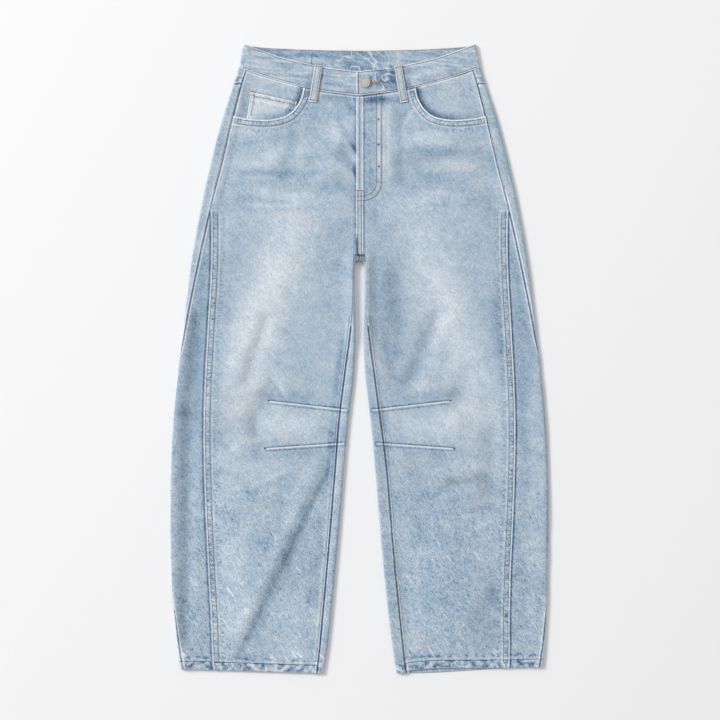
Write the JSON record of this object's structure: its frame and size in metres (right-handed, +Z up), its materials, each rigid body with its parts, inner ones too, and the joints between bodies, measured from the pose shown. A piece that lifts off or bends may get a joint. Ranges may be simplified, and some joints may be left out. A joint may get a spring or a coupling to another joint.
{
  "type": "barrel leg trousers",
  "caption": "Light denim trousers with curved barrel legs, long side gores, knee darts, scoop pockets and a button waistband, laid flat face up.",
  "frame": {"origin": "middle of the laid-out garment in plan, on the surface that it rests on", "axes": "+X towards the wearer's left side, +Y from hem to waist, +Z up off the surface, out of the garment's front"},
  "size_m": [0.62, 1.032, 0.0141],
  "materials": {
    "denim": "light washed twill, blue with a paler thigh and knee",
    "denim_back": "light washed twill, a little bluer than the front",
    "denim_band": "light washed twill, doubled and edge stitched",
    "metal": "matt greige metal"
  },
  "bodies": {
    "root": {"front_right": "denim", "front_left": "denim", "gore_right": "denim", "gore_left": "denim", "pocket_facing_right": "denim", "pocket_facing_left": "denim", "coin_pocket": "denim", "back_right": "denim_back", "back_left": "denim_back", "yoke_right": "denim_back", "yoke_left": "denim_back", "back_pocket_right": "denim_back", "back_pocket_left": "denim_back", "waistband": "denim_band", "belt_loop_front_right": "denim_band", "belt_loop_front_left": "denim_band", "belt_loop_back_right": "denim_band", "belt_loop_back_left": "denim_band", "belt_loop_back_centre": "denim_band", "button": "metal", "rivet_right": "metal", "rivet_left": "metal"}
  },
  "joints": []
}
